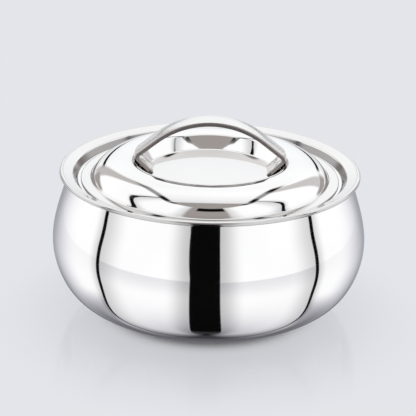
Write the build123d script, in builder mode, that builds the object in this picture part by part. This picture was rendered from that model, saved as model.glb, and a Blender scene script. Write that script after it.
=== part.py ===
from build123d import *
from math import acos, asin, cos, degrees, radians, sin, sqrt, tan
import os

# Insulated serving casserole: a double-walled belly pot with a double-walled lid that lifts off.
# Millimetres, +Z up, origin at the middle of the ring that the pot stands on.
# Round pieces are drawn in the XZ plane, with X as the radius, and turned about Z.

# ---------------------------------------------------------------- driving dimensions
total_height = 130.0            # to the crest of the lid's handle
belly_radius, belly_height = 102.5, 48.0
pot_sheet = 0.7                 # pressed steel of the pot
lid_sheet = 0.6                 # pressed steel of the lid
foam_gap = 0.25                 # from the insulation to the steel round it
lap_gap = 0.05                  # between pieces of sheet that are pressed together

# Outer shell, from the foot ring up to the neck
foot_inner_radius, foot_radius = 46.0, 54.0
foot_splay = 14.0               # degrees the wall rises at as it leaves the foot
belly_stations = [(78.0, 8.0), (90.6, 16.5), (98.7, 29.5), (belly_radius, belly_height), (99.0, 69.5)]
belly_spans = 16                # spans of each wall line drawn parallel to the belly
neck_radius, neck_height = 93.6, 87.0
neck_lean = 16.0                # degrees the neck leans in from upright
neck_fillet = 1.2

# Rim: a flared flange with its edge rolled round the lip of the outer shell
bead_centre_radius, bead_centre_height, bead_radius = 96.0, 94.5, 1.5
flange_rise = 19.0              # degrees the flange rises at, going outward
curl = 270.0                    # degrees that the bead is rolled through
lip_end_gap = 0.15              # from the lip's end to the middle of the bead

# Inner bowl
flange_inner_radius, flange_inner_height, flange_fillet = 88.93, 93.66, 1.5
seat_radius, seat_height, seat_fillet = 85.8, 89.2, 1.8
mouth_radius, mouth_fillet = 80.6, 1.2
bowl_foot_radius, bowl_foot_fillet = 78.2, 22.0
bowl_floor_height = 10.5        # top of the bowl's floor

# Base plate and the plug in its filling hole
plate_radius = 53.5
plate_step_radius, plate_panel_radius = 37.0, 34.0
plate_panel_height = 3.2        # underside of the raised middle panel
plate_fillet = 1.5
fill_hole_radius = 6.0
plug_head_radius, plug_head_height = 9.0, 1.2
plug_stem_radius, plug_barb_radius = 5.9, 6.9
plug_barb_gap, plug_barb_height = 0.1, 2.2

# Insulation of the pot
foam_top = 88.2
foam_panel_radius = 40.0        # the foam stays above the plate's raised panel inside this
plug_pocket_radius, plug_pocket_top = 8.0, 6.6

# Lid top: edge, dome and the recess in the middle of it
lid_edge_radius, rim_height, edge_fillet = 83.9, 90.4, 0.9
crest_radius, crest_height = 56.1, 103.5
crest_flat = 2.66               # width of the level ring along the crest
outer_dome_arc, inner_dome_arc = 24.0, 7.3
dome_foot_fillet = 1.2
recess_wall_slope, recess_wall_run = 45.0, 9.45     # the wall below the dome, in degrees and along it
recess_fillet = 1.3
recess_floor_slope = 5.5        # degrees at the edge of the crowned recess floor

# Lid liner
liner_edge_radius, spigot_top_radius, spigot_radius = 82.9, 79.0, 78.6
spigot_height, liner_panel_height = 81.0, 82.5
liner_step_outer, liner_step_inner = 52.0, 49.0
liner_fillets = [1.0, 4.0, 2.0, 2.0]
lid_foam_radius = 78.0

# Handle: one strap, arched over the recess, its ends curled in and laid on the recess wall
strap_width, strap_thickness = 17.0, 3.1
strap_crown, strap_hollow = 0.9, 0.5    # rise of the outer face, and of the inner face, at the middle
strap_outer_fillet, strap_inner_fillet = 0.9, 0.6
strap_rise = 38.0               # degrees the arch starts at
bend_radius = 5.0
tab_run = 8.9                   # up the recess wall from its foot, to where the bend leaves it
tab_run_on = 3.0                # past the foot of the recess wall, cut off where it meets the floor

# Rivets, square to the recess wall
rivet_run = 4.5                 # from the foot of the recess wall up it
rivet_spacing = 10.0
rivet_radius, rivet_hole_radius = 1.55, 1.6
head_radius, head_dome = 2.2, 8.0
head_apex, head_seat = -3.6, -2.9       # depths, from the recess wall into the lid
head_clearance = 0.05
tail_radius, tail_dome, tail_apex = 2.6, 6.0, 2.5
washer_radius, washer_bore = 3.5, 1.7
washer_seat, washer_back = 0.95, 1.55
rivet_pocket_radius, rivet_pocket_depth = 4.0, 3.2
cutter_reach = 6.0              # how far cuts run past the metal

# ---------------------------------------------------------------- worked out from these
dome_foot_drop = rim_height - crest_height + outer_dome_arc + dome_foot_fillet
dome_foot_turn = degrees(acos(dome_foot_drop / (outer_dome_arc + dome_foot_fillet)))
crest_inner_radius = crest_radius - crest_flat
dome_foot_radius = crest_radius + sqrt((outer_dome_arc + dome_foot_fillet) ** 2 - dome_foot_drop ** 2)
panel_top = plate_panel_height + pot_sheet
below_lid = spigot_height - cutter_reach


def heading(angle):
    """Direction at this many degrees above the outward radius."""
    return (cos(radians(angle)), sin(radians(angle)))


def from_bead(along, above):
    """Point measured from the middle of the bead, along the flange and square to it."""
    out, up = heading(flange_rise), heading(flange_rise + 90)
    return (bead_centre_radius + along * out[0] + above * up[0],
            bead_centre_height + along * out[1] + above * up[1])


def on_recess_wall(run, stand_off=0.0):
    """Point over the straight wall of the recess, this far up it from its foot."""
    out, up = heading(recess_wall_slope), heading(recess_wall_slope + 90)
    reach, along = inner_dome_arc + stand_off, run - recess_wall_run
    return (crest_inner_radius + reach * up[0] + along * out[0],
            crest_height - inner_dome_arc + reach * up[1] + along * out[1])


# ---------------------------------------------------------------- outlines, drawn in the half section
belly = Spline([(foot_radius, 0), *belly_stations, (neck_radius, neck_height)],
               tangents=[heading(foot_splay), heading(90 + neck_lean)])


def shell_outline(depth):
    """Line through the outer shell at a depth below its outer face, from the foot ring up to the lip."""
    points = []
    for span in range(belly_spans + 1):
        at, along = belly @ (span / belly_spans), belly % (span / belly_spans)
        points.append((at.X - depth * along.Y, at.Y + depth * along.X))
    foot, lip = (foot_inner_radius, depth), from_bead(-lip_end_gap, lap_gap + depth)
    Line(foot, points[0])
    Spline(points, tangents=[heading(foot_splay), heading(90 + neck_lean)])
    up, lean = heading(flange_rise + 90), heading(neck_lean + 90)
    to_lip = (lip[0] - points[-1][0]) * up[0] + (lip[1] - points[-1][1]) * up[1]
    neck_length = to_lip / cos(radians(flange_rise - neck_lean))
    neck_top = (points[-1][0] + neck_length * lean[0], points[-1][1] + neck_length * lean[1])
    FilletPolyline(points[-1], neck_top, lip, radius=neck_fillet + depth)
    return foot, lip


def foam_outline():
    """Outer face of the pot's insulation."""
    return shell_outline(pot_sheet + foam_gap)


def bowl_outline():
    """Cavity face of the inner bowl, from the free edge of the bead in to the middle of the floor."""
    bead = JernArc(from_bead(-bead_radius, 0), heading(flange_rise - 90), bead_radius, curl)
    FilletPolyline(bead @ 1, (flange_inner_radius, flange_inner_height), (seat_radius, seat_height),
                   (mouth_radius, seat_height), (bowl_foot_radius, bowl_floor_height),
                   (0, bowl_floor_height),
                   radius=[flange_fillet, seat_fillet, mouth_fillet, bowl_foot_fillet])


def bowl_wall_outline():
    """Cavity face of the bowl below its mouth."""
    mouth, middle = (mouth_radius, seat_height), (0, bowl_floor_height)
    FilletPolyline(mouth, (bowl_foot_radius, bowl_floor_height), middle, radius=bowl_foot_fillet)
    return mouth, middle


def lid_top_outline():
    """Outer face of the lid, from its edge up over the dome and in to the middle of the recess."""
    edge = FilletPolyline((lid_edge_radius, seat_height), (lid_edge_radius, rim_height),
                          (dome_foot_radius, rim_height), radius=edge_fillet)
    foot = JernArc(edge @ 1, edge % 1, dome_foot_fillet, -dome_foot_turn)
    dome = JernArc(foot @ 1, foot % 1, outer_dome_arc, dome_foot_turn)
    crest = Line(dome @ 1, (crest_inner_radius, crest_height))
    shoulder = JernArc(crest @ 1, crest % 1, inner_dome_arc, recess_wall_slope)
    wall = Line(shoulder @ 1, on_recess_wall(0))
    corner = JernArc(wall @ 1, wall % 1, recess_fillet, -recess_wall_slope - recess_floor_slope)
    floor_edge, floor_arc = corner @ 1, (corner @ 1).X / sin(radians(recess_floor_slope))
    floor_centre = floor_edge.Y - floor_arc * cos(radians(recess_floor_slope))
    CenterArc((0, floor_centre), floor_arc, 90 - recess_floor_slope, recess_floor_slope)
    return edge @ 0, (0, floor_centre + floor_arc)


def liner_outline():
    """Underside of the lid liner, from its edge in to its middle."""
    FilletPolyline((liner_edge_radius, seat_height), (spigot_top_radius, seat_height),
                   (spigot_radius, spigot_height), (liner_step_outer, spigot_height),
                   (liner_step_inner, liner_panel_height), (0, liner_panel_height),
                   radius=liner_fillets)
    return (liner_edge_radius, seat_height), (0, liner_panel_height)


def sheet_section(outline, thickness, side, mode=Mode.ADD):
    """Section of a sheet of this thickness on one side of an outline."""
    with BuildLine() as section:
        outline()
        offset(amount=thickness, side=side)
    make_face(section.edges(), mode=mode)


def area_within(outline, *corners, mode=Mode.ADD):
    """Area between an outline and the corners that lead from its end back to its start."""
    with BuildLine() as border:
        start, end = outline()
        Polyline(end, *corners, start)
    make_face(border.edges(), mode=mode)


def cut_box(inner_radius, outer_radius, bottom, top):
    """Cut a rectangle out of the half section."""
    with Locations(((inner_radius + outer_radius) / 2, (bottom + top) / 2)):
        Rectangle(outer_radius - inner_radius, top - bottom, mode=Mode.SUBTRACT)


# ---------------------------------------------------------------- rivet places
def rivet_plane(hand, y):
    """Section plane of one rivet: X is its radius, and Y runs through the recess wall into the lid."""
    x, z = on_recess_wall(rivet_run)
    tilt = radians(recess_wall_slope)
    return Plane(origin=(hand * x, y, z), x_dir=(0, 1, 0), z_dir=(-cos(tilt), 0, -hand * sin(tilt)))


left, right = ([rivet_plane(hand, y) for y in (-rivet_spacing / 2, rivet_spacing / 2)] for hand in (-1, 1))


def turn_rectangle(plane, inner_radius, outer_radius, start, end, mode=Mode.ADD):
    """Ring or disc about the axis of one rivet, between two depths."""
    with BuildSketch(plane) as section:
        with Locations(((inner_radius + outer_radius) / 2, (start + end) / 2)):
            Rectangle(outer_radius - inner_radius, end - start)
    revolve(section.sketch, axis=Axis(plane.origin, plane.y_dir), mode=mode)


def drill(radius, start, end):
    """Round hole at every rivet, between two depths."""
    for plane in left + right:
        turn_rectangle(plane, 0, radius, start, end, mode=Mode.SUBTRACT)


os.makedirs("parts", exist_ok=True)

# ---------------------------------------------------------------- pot
with BuildPart() as outer_shell:
    with BuildSketch(Plane.XZ):
        with BuildLine():
            outer_foot, outer_lip = shell_outline(0)
            inner_foot, inner_lip = shell_outline(pot_sheet)
            Line(outer_foot, inner_foot)
            Line(outer_lip, inner_lip)
        make_face()
    revolve(axis=Axis.Z)
outer_shell.part.label = "outer_shell"
export_step(outer_shell.part, "parts/outer_shell.step")

with BuildPart() as inner_bowl:
    with BuildSketch(Plane.XZ):
        sheet_section(bowl_outline, pot_sheet, Side.LEFT)
    revolve(axis=Axis.Z)
inner_bowl.part.label = "inner_bowl"
export_step(inner_bowl.part, "parts/inner_bowl.step")

with BuildPart() as base_plate:
    with BuildSketch(Plane.XZ):
        with BuildLine():
            FilletPolyline((fill_hole_radius, plate_panel_height), (plate_panel_radius, plate_panel_height),
                           (plate_step_radius, pot_sheet), (plate_radius, pot_sheet),
                           radius=[plate_fillet, plate_fillet])
            offset(amount=pot_sheet, side=Side.LEFT)
        make_face()
    revolve(axis=Axis.Z)
base_plate.part.label = "base_plate"
export_step(base_plate.part, "parts/base_plate.step")

with BuildPart() as fill_plug:
    with BuildSketch(Plane.XZ):
        with BuildLine():
            Polyline((0, plate_panel_height - plug_head_height),
                     (plug_head_radius, plate_panel_height - plug_head_height),
                     (plug_head_radius, plate_panel_height),
                     (plug_stem_radius, plate_panel_height),
                     (plug_stem_radius, panel_top + plug_barb_gap),
                     (plug_barb_radius, panel_top + plug_barb_gap),
                     (plug_stem_radius, panel_top + plug_barb_height),
                     (0, panel_top + plug_barb_height), close=True)
        make_face()
    revolve(axis=Axis.Z)
fill_plug.part.label = "fill_plug"
export_step(fill_plug.part, "parts/fill_plug.step")

with BuildPart() as body_foam:
    with BuildSketch(Plane.XZ):
        area_within(foam_outline, (0, bead_centre_height), (0, 0))
        area_within(bowl_wall_outline, (0, seat_height), mode=Mode.SUBTRACT)
        sheet_section(bowl_wall_outline, pot_sheet + foam_gap, Side.LEFT, mode=Mode.SUBTRACT)
        cut_box(0, belly_radius, foam_top, total_height)
        cut_box(0, foot_radius, 0, 2 * pot_sheet + foam_gap)
        cut_box(0, foam_panel_radius, 0, panel_top + foam_gap)
        cut_box(0, plug_pocket_radius, 0, plug_pocket_top)
    revolve(axis=Axis.Z)
body_foam.part.label = "body_foam"
export_step(body_foam.part, "parts/body_foam.step")

# ---------------------------------------------------------------- lid
with BuildPart() as lid_top_shell:
    with BuildSketch(Plane.XZ):
        sheet_section(lid_top_outline, lid_sheet, Side.LEFT)
    revolve(axis=Axis.Z)
    drill(rivet_hole_radius, -cutter_reach, cutter_reach)
lid_top_shell.part.label = "lid_top_shell"
export_step(lid_top_shell.part, "parts/lid_top_shell.step")

with BuildPart() as lid_liner:
    with BuildSketch(Plane.XZ):
        sheet_section(liner_outline, lid_sheet, Side.RIGHT)
    revolve(axis=Axis.Z)
lid_liner.part.label = "lid_liner"
export_step(lid_liner.part, "parts/lid_liner.step")

with BuildPart() as lid_foam:
    with BuildSketch(Plane.XZ):
        area_within(lid_top_outline, (0, below_lid), (lid_edge_radius, below_lid))
        area_within(liner_outline, (0, below_lid), (liner_edge_radius, below_lid), mode=Mode.SUBTRACT)
        sheet_section(lid_top_outline, lid_sheet + foam_gap, Side.LEFT, mode=Mode.SUBTRACT)
        sheet_section(liner_outline, lid_sheet + foam_gap, Side.RIGHT, mode=Mode.SUBTRACT)
        cut_box(lid_foam_radius, belly_radius, below_lid, total_height)
    revolve(axis=Axis.Z)
    drill(rivet_pocket_radius, -cutter_reach, rivet_pocket_depth)
lid_foam.part.label = "lid_foam"
export_step(lid_foam.part, "parts/lid_foam.step")

# ---------------------------------------------------------------- handle and its rivets
with BuildPart() as lid_handle:
    with BuildLine(Plane.XZ) as strap_path:
        tab = Line(on_recess_wall(-tab_run_on, lap_gap), on_recess_wall(tab_run, lap_gap))
        bend = JernArc(tab @ 1, tab % 1, bend_radius, 180 - strap_rise - recess_wall_slope)
        reach, drop = (bend @ 1).X, total_height - (bend @ 1).Z
        ramp_length = drop / tan(radians(strap_rise / 2)) - reach
        ramp = Line(bend @ 1, bend @ 1 + (bend % 1) * ramp_length)
        arch_radius = (reach - ramp_length * cos(radians(strap_rise))) / sin(radians(strap_rise))
        JernArc(ramp @ 1, ramp % 1, arch_radius, strap_rise)
        mirror(about=Plane.YZ)
    with BuildSketch(Plane(origin=tab @ 0, x_dir=(0, 1, 0), z_dir=tab % 0)):
        half_width = strap_width / 2
        inner_edge = strap_thickness + strap_hollow
        with BuildLine():
            ThreePointArc((-half_width, strap_crown), (0, 0), (half_width, strap_crown))
            Line((half_width, strap_crown), (half_width, inner_edge))
            ThreePointArc((half_width, inner_edge), (0, strap_thickness), (-half_width, inner_edge))
            Line((-half_width, inner_edge), (-half_width, strap_crown))
        make_face()
        inner_corners = vertices().group_by(Axis.Y)[-1]
        outer_corners = vertices().group_by(Axis.Y)[0]
        fillet(outer_corners, strap_outer_fillet)
        fillet(inner_corners, strap_inner_fillet)
    sweep()
    with BuildSketch(Plane.XZ):
        area_within(lid_top_outline, (0, below_lid), (lid_edge_radius, below_lid))
    revolve(axis=Axis.Z, mode=Mode.SUBTRACT)
    drill(rivet_hole_radius, -cutter_reach, cutter_reach)
    drill(head_radius + head_clearance, -cutter_reach, head_seat)
lid_handle.part.label = "lid_handle"
export_step(lid_handle.part, "parts/lid_handle.step")

for side, planes in (("left", left), ("right", right)):
    with BuildPart() as handle_rivets:
        for plane in planes:
            with BuildSketch(plane):
                with BuildLine():
                    tail = JernArc((0, tail_apex), (1, 0), tail_dome, -degrees(asin(tail_radius / tail_dome)))
                    head = JernArc((0, head_apex), (1, 0), head_dome, degrees(asin(head_radius / head_dome)))
                    Polyline(tail @ 1, (tail_radius, washer_back), (rivet_radius, washer_back),
                             (rivet_radius, head_seat), (head_radius, head_seat), head @ 1)
                    Line(head @ 0, tail @ 0)
                make_face()
            revolve(axis=Axis(plane.origin, plane.y_dir))
    handle_rivets.part.label = f"handle_rivets_{side}"
    export_step(handle_rivets.part, f"parts/handle_rivets_{side}.step")

    with BuildPart() as rivet_washers:
        for plane in planes:
            turn_rectangle(plane, washer_bore, washer_radius, washer_seat, washer_back)
    rivet_washers.part.label = f"rivet_washers_{side}"
    export_step(rivet_washers.part, f"parts/rivet_washers_{side}.step")
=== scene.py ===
from math import acos, ceil, cos, pi, radians, sin, sqrt, tan

import bpy
import numpy as np
from bpy.props import FloatProperty, FloatVectorProperty, PointerProperty
from mathutils import Matrix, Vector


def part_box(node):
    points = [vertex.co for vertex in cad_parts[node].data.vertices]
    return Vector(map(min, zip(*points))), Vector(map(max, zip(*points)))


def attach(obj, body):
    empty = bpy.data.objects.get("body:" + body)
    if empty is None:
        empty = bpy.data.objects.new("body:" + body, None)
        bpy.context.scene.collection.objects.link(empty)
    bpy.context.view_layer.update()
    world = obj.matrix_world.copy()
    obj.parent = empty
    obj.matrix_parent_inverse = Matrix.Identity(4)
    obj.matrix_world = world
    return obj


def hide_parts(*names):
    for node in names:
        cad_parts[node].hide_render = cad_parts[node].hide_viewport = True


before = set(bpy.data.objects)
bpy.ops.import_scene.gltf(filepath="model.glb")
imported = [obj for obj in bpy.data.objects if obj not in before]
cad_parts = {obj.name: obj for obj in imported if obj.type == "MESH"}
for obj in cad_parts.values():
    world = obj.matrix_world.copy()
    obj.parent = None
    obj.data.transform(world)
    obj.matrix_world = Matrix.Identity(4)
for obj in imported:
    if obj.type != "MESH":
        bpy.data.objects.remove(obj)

bl_info = {
    "name": "Insulated Casserole",
    "version": (1, 0, 0),
    "blender": (4, 5, 0),
    "location": "View3D > Sidebar > Casserole",
    "description": "Polished steel casserole with a lift-off lid, built round its fixed frame",
    "category": "Add Mesh",
}

# Metres, +Z up, the pot's axis on Z. An outline is drawn in the half section, radius and height.
MM = 0.001
SEGMENTS = 192                  # round each turned piece
ARC_STEP = radians(6)           # largest turn between two stations of an arc
ARC_RUN = 1.2 * MM              # largest run between two stations of a long arc
CAP_STEPS = 6                   # stations round the edge of a sheet

# Pot
FOOT_INNER_RADIUS, FOOT_RADIUS, FOOT_FILLET = 46.0 * MM, 54.0 * MM, 3.0 * MM
FOOT_SPLAY, NECK_LEAN = radians(14), radians(16)
BELLY_BELOW = ((78.0 * MM, 8.0 * MM), (90.6 * MM, 16.5 * MM), (98.7 * MM, 29.5 * MM))
BELLY_ABOVE = ((99.0 * MM, 69.5 * MM),)
NECK = (93.6 * MM, 87.0 * MM)
NECK_FILLET = 1.2 * MM
BELLY_SPAN_STEPS = 14
LAP_GAP, LIP_END_GAP = 0.05 * MM, 0.15 * MM
BEAD_CENTRE = (96.0 * MM, 94.5 * MM)
CURL = radians(270)
FLANGE_INNER = (88.93 * MM, 93.66 * MM)
SEAT_OUTER, MOUTH = (85.8 * MM, 89.2 * MM), (80.6 * MM, 89.2 * MM)
BOWL_FOOT_RADIUS = 78.2 * MM
BOWL_FILLETS = (1.5 * MM, 1.8 * MM, 1.2 * MM, 22.0 * MM)
PLATE_OUTLINE = ((6.0 * MM, 3.2 * MM), (34.0 * MM, 3.2 * MM), (37.0 * MM, 0.7 * MM), (53.5 * MM, 0.7 * MM))
PLATE_FILLETS = (1.5 * MM, 1.5 * MM)

# Lid
RIM_HEIGHT, RIM_FILLET = 90.4 * MM, 0.9 * MM
DOME_FOOT_FILLET = 1.2 * MM
CREST_FLAT, RECESS_WALL_RUN = 2.66 * MM, 9.45 * MM
RECESS_WALL_BOW = radians(4)            # how much the wall turns from its foot to its top
RECESS_FILLET, RECESS_FLOOR_SLOPE = 1.3 * MM, radians(5.5)
LINER_OUTLINE = ((0.0, 82.5 * MM), (49.0 * MM, 82.5 * MM), (52.0 * MM, 81.0 * MM), (78.6 * MM, 81.0 * MM),
                 (79.0 * MM, 89.2 * MM), (82.9 * MM, 89.2 * MM))
LINER_FILLETS = (2.0 * MM, 2.0 * MM, 4.0 * MM, 1.0 * MM)

# Handle
STRAP_CROWN, STRAP_HOLLOW = 0.9 * MM, 0.5 * MM
STRAP_FILLETS = (0.9 * MM, 0.6 * MM)    # outer face, inner face
TAB_RUN = 8.9 * MM
STRAP_STEP = 0.8 * MM                   # largest run between two stations of its section
RECESS_MARGIN, RECESS_LOW = 1.0 * MM, 8.0 * MM      # past the strap's end, and above the lid's rim
SLIDE_STEPS = 40

# Finishes. Scales are in a metre, and an edge is where a pattern starts and where it is whole.
LINES, LINE_DEPTH = 2500.0, 0.0003 * MM         # buffing lines across a turned piece
SATIN_LINES, SATIN_LINE_DEPTH = 4000.0, 0.004 * MM
CAST_LINES = (60.0, 2500.0, 600.0)              # buffing marks along X, Y and Z
LINE_LENGTHS, LINE_DETAIL = 3.0, 3.0            # lines end to end in a radian
SMEAR_SCALE, SMEAR_EDGES = 18.0, (0.35, 0.7)
SMEAR_TINT, CAST_SMEAR_TINT = 0.975, 0.97
SCUFF_SCALE, SCUFF_LENGTHS, SCUFF_EDGES = 90.0, 6.0, (0.66, 0.72)
ROUGH_MIX, CAST_ROUGH_MIX = (0.7, 0.5, 0.35), (0.7, 0.5, 0.4)   # all over, and added by lines and smears
SATIN_ROUGHNESS, RIVET_ROUGHNESS, STRAP_ROUGHNESS = 0.28, 0.16, (0.05, 0.2)
STRAP_DULL_HEIGHTS = (103.0 * MM, 107.0 * MM)   # the strap is bright below these and dull above them
STRAP_EDGE, STRAP_SIDE_SHADE = 0.75 * MM, (0.25, 0.225, 0.215)  # painted shade along the strap's sides, which are rougher too

# Painted shade in the seat's crevice and beside the bead and the hem, and a darker tone on the flange, the
# recess's floor and the lid's rim, all rougher too, by radius and height
SHADE_AND_WEAR_STEEL, WORN_ROUGHNESS = (0.25, 0.235, 0.225), 0.12
# painted shade in the seat's crevice under the lid's edge
SEAT_SHADE_RING, SEAT_SHADE_FADE = (85.7 * MM, 88.7 * MM), 0.8 * MM         # it fades out under the flange
# painted dark lines of shade beside the rolled bead
BEAD_SHADE_LINES, BEAD_SHADE = (95.3 * MM, 97.2 * MM), 0.55
# painted shade on the hem's outer side, in the gap to the seat
HEM_SHADE_SIDE, HEM_SHADE = (0.5 * MM, 0.1 * MM), 0.6                  # in from the lid's edge
# a little darker and rougher on the recess's floor, the lid's rim and the flange
LID_FLAT_EDGES, FLAT_DARKENING = (40.0 * MM, 76.8 * MM), 0.1         # the recess's floor and the lid's rim
RING_SOFT, LINE_SOFT, FLAT_SOFT = 0.3 * MM, 0.2 * MM, 0.5 * MM

# Insulation and plug
# the foam's open cells get painted shade in their hollows
CELL_SCALE, CELL_EDGES, CELL_SHADE = 900.0, (0.15, 0.5), 0.6
CELL_DEPTH, CELL_STRENGTH = 0.3 * MM, 0.6
FOAM_CLOUD_SCALE, FOAM_CLOUD_EDGES, FOAM_CLOUD_TINT = 60.0, (0.3, 0.7), 0.86
FOAM_ROUGHNESS, FOAM_SHINE = (0.82, 0.12), 0.25                 # all over, and added by the clouding
GRAIN_SCALE, GRAIN_DEPTH, GRAIN_STRENGTH = 4000.0, 0.03 * MM, 0.5
PLASTIC_CLOUD_SCALE, PLASTIC_CLOUD_TINT = 120.0, 1.8
PLASTIC_ROUGHNESS = (0.42, 0.16)                                # all over, and added by the grain

# Camera
CAMERA_PITCH, CAMERA_ROLL = radians(21.16), radians(1.29)
CAMERA_DISTANCE, CAMERA_AIM_HEIGHT = 1.0, 67.77 * MM
CAMERA_LENS, CAMERA_SENSOR, CAMERA_SHIFT = 131.79, 36.0, -0.00293
CAMERA_CLIP = 10.0 * MM

# Light tent. A bearing is in degrees about Z from the front, to the right, and a height in degrees
# above level. A gloom is the share of the light that a shade takes.
TENT_LIGHT, TENT_DARK = (1.56, 1.6, 1.645), (0.004, 0.004, 0.004)
TENT_GREY = (0.53, 0.495, 0.485)                # the unlit space round the camera
COOL = (0.0, -0.02, 0.11)                       # what the shade underneath adds to red, green and blue
HIGH_FROM, HIGH_TO = 14.0, 30.0                 # the tent's low pattern turns into its high one between these
SIDES, BEARING_SOFT = (-1.0, 1.0), 4.0          # one side turns into the other between the first two
# A dark gap to the front, low down, and a grey space above it with a slit in it
GAP_BEARING, GAP_HALF, GAP_SOFT = -1.8, 10.5, 0.3
GAP_SPREAD, GAP_LEAN, GAP_GLOOM, GAP_FADE = 1.4, 0.06, 0.42, 18.0   # how it widens, and shade beside it
GAP_ENDS = (-0.16, 0.2)                         # it fades out past straight down, between these parts of Y
GREY_BEARING, GREY_HALF, GREY_SOFT = -2.5, 25.0, 3.0
GREY_GLOOM, GREY_FADE = 0.3, 17.0
SLIT_BEARINGS, SLIT_HEIGHTS, SLIT_SOFT = (-17.0, 21.0), (55.0, 64.3), 1.5
# A seam on each side, this far either side of its bearing
SEAM_BEARING, SEAM_TURN = -0.4, 83.6
SEAM_SPREAD, SEAM_SPREADS = 2.5, 2.2            # they spread underneath: how much, and to which power
SEAM_PINCH, SEAM_PINCHES = 6.0, (0.0, 26.0)     # they come forward as they rise
SEAM_LEAN, SEAM_SHIFT, SEAM_LEANS = 16.6, 4.6, (24.0, 44.0)         # and lean back higher up
SEAM_HALF, SEAM_SOFT, SEAM_WIDENS = 1.6, 0.35, (1.5, 0.5)           # they widen to the left and right
SEAM_NARROWS, SEAM_PALES, SEAM_PALE = (42.0, 50.0), (46.0, 54.0), 0.5
SEAM_GLOOM, SEAM_FADES = 0.34, (22.0, 10.0)     # shade in front of each seam and behind it
# The upright panels' upper edge, and its dark line, which widens to the sides
PANEL_TOP, PANEL_SOFT = 65.5, 1.0
PANEL_LINE, PANEL_LINE_FROM, PANEL_LINE_ENDS = (0.35, 2.0), (50.0, 68.0), (30.0, 112.0)
PANEL_LINE_DARK, PANEL_LINE_EDGES = (0.45, 0.45), (0.6, 1.4)
# The overhead sheet, whose sides slope this much, and its dark border with darker knots
SHEET_SIDE, SHEET_FRONT = 2.25, 7.3
SHEET_GLOOM, SHEET_REACH = 0.3, 0.5
BORDER_HALF, BORDER_SOFT, BORDER_GLOOM, BORDER_END = 0.036, 0.02, 0.7, 152.0
KNOTS = ((-113.0, -80.0), (80.0, 106.0), (139.0, 154.0))
# To the back: shade, grey bands and what they stand in, and a dark line low down
BACK_BEARINGS, BACK_HEIGHTS = (140.0, 165.0), (40.0, 60.0)
BACK_GLOOM, BACK_LIFT, BACK_RISES = 0.25, 0.05, (-6.0, 30.0)
BANDS = ((-154.5, -142.0, 0.75), (132.5, 147.5, 0.65))      # where they start and end, and how grey
BAND_SOFT, BAND_RISES = 2.5, (-4.0, 4.0)
BAND_FOOT, BAND_FOOT_HEIGHTS, BAND_FOOT_SOFT = (123.0, 150.0), (-2.0, 12.0), 2.0
BACK_LINE_HEIGHT, BACK_LINE_FALLS, BACK_LINE_LEFT = 10.0, 0.45, 2.5
BACK_LINE_ENDS, BACK_LINE_EDGES, BACK_LINE_SOFT = (153.0, 172.0), (1.4, 3.2), 3.0
# The table as a mirror sees it
HORIZON, HORIZON_SAG, HORIZON_SOFT = -3.6, 0.00035, 0.4
HORIZON_GLOOM, HORIZON_BEHIND, HORIZON_FALLS = 0.2, 0.35, (0.05, 0.45)
BELOW_GLOOM, FOOT_EDGE = 0.72, (-0.08, 0.14)                # towards the foot, straight down
FLANK_BEARINGS, FLANK_GLOOM, FLANK_FALLS = (105.0, 155.0), 0.6, (-16.0, 4.0)    # to the sides and back
FAR_BEARINGS, FAR_GLOOM, FAR_FALLS = (150.0, 172.0), 0.6, (-30.0, -24.0)
BESIDE_GLOOM, BESIDE_TOP, BESIDE_FOOT, BESIDE_KEPT = 0.55, (-50.0, -34.0), (-59.0, -53.0), 0.3

# Floor
TABLE_RADIUS, TABLE_SEGMENTS = 0.8, 128
PLAIN_FROM, PLAIN_TO = 0.11, 0.17               # the camera sees the floor plain beyond these radii
SHADOW_RADII, SHADOW_KEPT, SHADOW_END = (57.0 * MM, 80.0 * MM), 0.25, 150.0 * MM
# a contact shadow painted on the floor round the foot, darkest near it
CONTACT_RADII, CONTACT_SHADE = (56.0 * MM, 73.0 * MM), 0.7
FLOOR_LIGHT = (1.31, 1.34, 1.38)                # what the tent's light makes of a white floor
FLOOR_ROUGHNESS, FLOOR_SHINE, FLOOR_MIRRORED = 0.1, 0.1, 0.095
FLOOR_GRAIN_SCALE, FLOOR_GRAIN_TINT = 900.0, 0.99

BELLY_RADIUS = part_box("outer_shell")[1].x
LID_EDGE_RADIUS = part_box("lid_top_shell")[1].x
CREST_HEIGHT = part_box("lid_top_shell")[1].z
TOP_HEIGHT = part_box("lid_handle")[1].z
STRAP_WIDTH = 2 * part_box("lid_handle")[1].y


# ---------------------------------------------------------------- settings
def length(name, description, default):
    return FloatProperty(name=name, description=description, default=default, min=0.0, unit="LENGTH",
                         precision=5)


def angle(name, description, default):
    return FloatProperty(name=name, description=description, default=default, subtype="ANGLE")


def colour(name, description, default):
    return FloatVectorProperty(name=name, description=description, default=default, size=3,
                               subtype="COLOR", min=0.0, max=1.0)


def share(name, description, default):
    return FloatProperty(name=name, description=description, default=default, min=0.0, max=1.0)


class CasserolePot(bpy.types.PropertyGroup):
    belly_radius: length("Belly radius", "Widest radius of the outer shell", BELLY_RADIUS)
    belly_height: length("Belly height", "Height of the widest part of the shell", 48.0 * MM)
    bead_radius: length("Bead radius", "Radius of the rolled edge of the rim", 1.5 * MM)
    flange_rise: angle("Flange rise", "Angle the flared rim rises at, going outward", radians(19))
    floor_height: length("Floor height", "Height of the floor inside the bowl", 10.5 * MM)
    sheet: length("Sheet", "Thickness of the pot's pressed steel", 0.7 * MM)


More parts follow.
